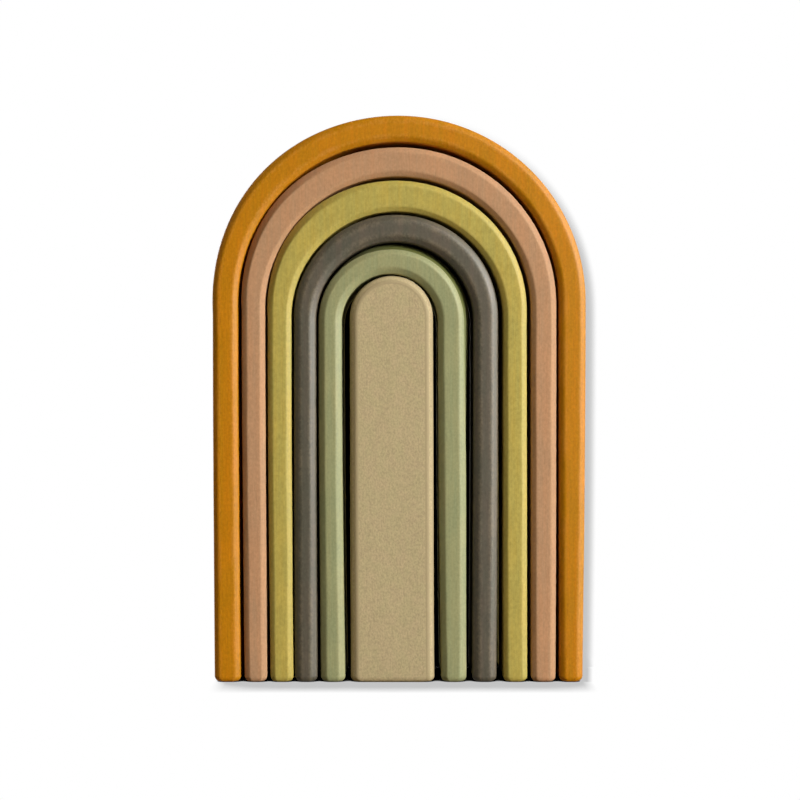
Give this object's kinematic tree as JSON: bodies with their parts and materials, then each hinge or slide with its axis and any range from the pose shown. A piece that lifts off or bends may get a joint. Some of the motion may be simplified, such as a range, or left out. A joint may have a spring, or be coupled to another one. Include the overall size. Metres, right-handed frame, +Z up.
{
  "type": "rainbow stacker",
  "caption": "Tall wooden nesting toy: long-legged painted arches stand around a round-topped block, and each lifts off the piece inside it.",
  "frame": {"origin": "middle of the nest's outline on the surface that it stands on", "axes": "+Z up, the way the arches lift; X across the width; Y along the depth, with the front at -Y"},
  "size_m": [0.1408, 0.04, 0.2134],
  "materials": {
    "natural_wood": "matte oil on pale solid wood",
    "sage_paint": "thin matte paint on solid wood",
    "grey_paint": "thin matte paint on solid wood",
    "olive_paint": "thin matte paint on solid wood",
    "rose_paint": "thin matte paint on solid wood",
    "ochre_paint": "thin matte paint on solid wood"
  },
  "bodies": {
    "centre_block": {"centre_block": "natural_wood"},
    "sage_arch": {"sage_arch": "sage_paint"},
    "grey_arch": {"grey_arch": "grey_paint"},
    "olive_arch": {"olive_arch": "olive_paint"},
    "rose_arch": {"rose_arch": "rose_paint"},
    "ochre_arch": {"ochre_arch": "ochre_paint"}
  },
  "joints": [
    {"name": "sage_lift", "type": "slide", "parent": "centre_block", "child": "sage_arch", "axis": [0, 0, 1], "range_m": [0, 0.16]},
    {"name": "grey_lift", "type": "slide", "parent": "sage_arch", "child": "grey_arch", "axis": [0, 0, 1], "range_m": [0, 0.171]},
    {"name": "olive_lift", "type": "slide", "parent": "grey_arch", "child": "olive_arch", "axis": [0, 0, 1], "range_m": [0, 0.183]},
    {"name": "rose_lift", "type": "slide", "parent": "olive_arch", "child": "rose_arch", "axis": [0, 0, 1], "range_m": [0, 0.196]},
    {"name": "ochre_lift", "type": "slide", "parent": "rose_arch", "child": "ochre_arch", "axis": [0, 0, 1], "range_m": [0, 0.208]}
  ]
}
